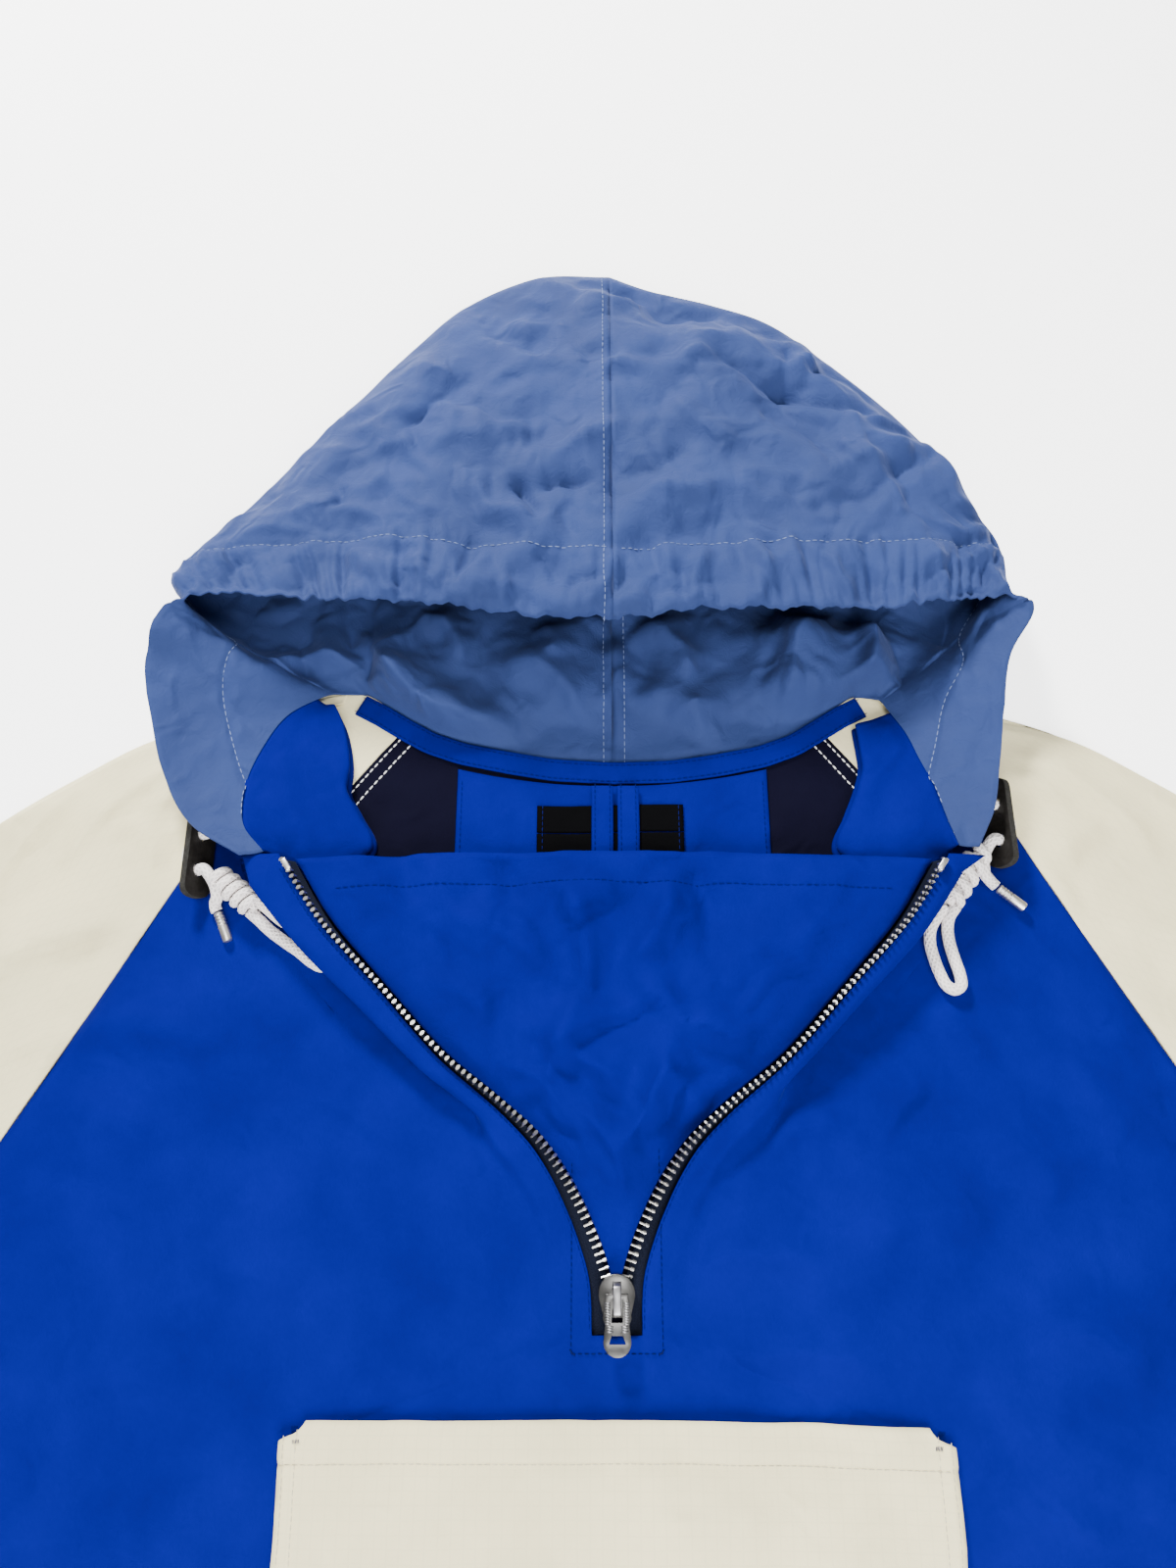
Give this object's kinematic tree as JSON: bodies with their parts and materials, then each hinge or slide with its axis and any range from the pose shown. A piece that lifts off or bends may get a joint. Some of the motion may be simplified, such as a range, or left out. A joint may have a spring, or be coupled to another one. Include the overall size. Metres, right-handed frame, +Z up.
{
  "type": "anorak pullover",
  "caption": "Hooded half-zip anorak pullover with raglan sleeves, gusset, patch pocket and drawcord, laid flat on its back with the zip open",
  "frame": {"origin": "Middle of the underside's box, on the surface the garment lies on, between the hem and the top of the hood", "axes": "+Z up from the surface, +Y from the hem to the hood, +X from cuff to cuff towards the sleeve on the right as seen from above"},
  "size_m": [1.483, 0.9988, 0.0472],
  "materials": {
    "hood_cloth": "matt crumpled slate-blue nylon",
    "cobalt_cloth": "matt cobalt nylon",
    "navy_cloth": "matt navy nylon, inside face",
    "cream_cloth": "matt cream nylon with a faint grid",
    "zip_tape": "woven tape",
    "label_cloth": "black satin ribbon",
    "cord": "round braided cord",
    "nickel": "polished nickel",
    "leather": "black leather with a rough cut edge"
  },
  "bodies": {
    "garment": {"back_panel": "navy_cloth", "front_panel": "cobalt_cloth", "sleeve_left": "cream_cloth", "sleeve_right": "cream_cloth", "hood_left": "hood_cloth", "hood_right": "hood_cloth", "zip_gusset": "cobalt_cloth", "zip_tape_left": "zip_tape", "zip_tape_right": "zip_tape", "zip_stop_left": "nickel", "zip_stop_right": "nickel", "zip_slider": "nickel", "pocket": "cream_cloth", "neck_tape": "cobalt_cloth", "back_facing": "cobalt_cloth", "label_upper": "label_cloth", "label_lower": "label_cloth", "hanger_loop": "cobalt_cloth", "cord_left_feed": "cord", "cord_left_loop": "cord", "cord_left_tail": "cord", "cord_right_feed": "cord", "cord_right_loop": "cord", "cord_right_tail": "cord", "knot_left": "cord", "knot_right": "cord", "aglet_left": "nickel", "aglet_right": "nickel", "toggle_left": "leather", "toggle_right": "leather"},
    "pull_tab": {"zip_pull": "nickel"}
  },
  "joints": [
    {"name": "pull_hinge", "type": "hinge", "parent": "garment", "child": "pull_tab", "pos_m": [0, -0.03856, 0.0122], "axis": [-1, 0, 0], "range_deg": [0, 160]}
  ]
}
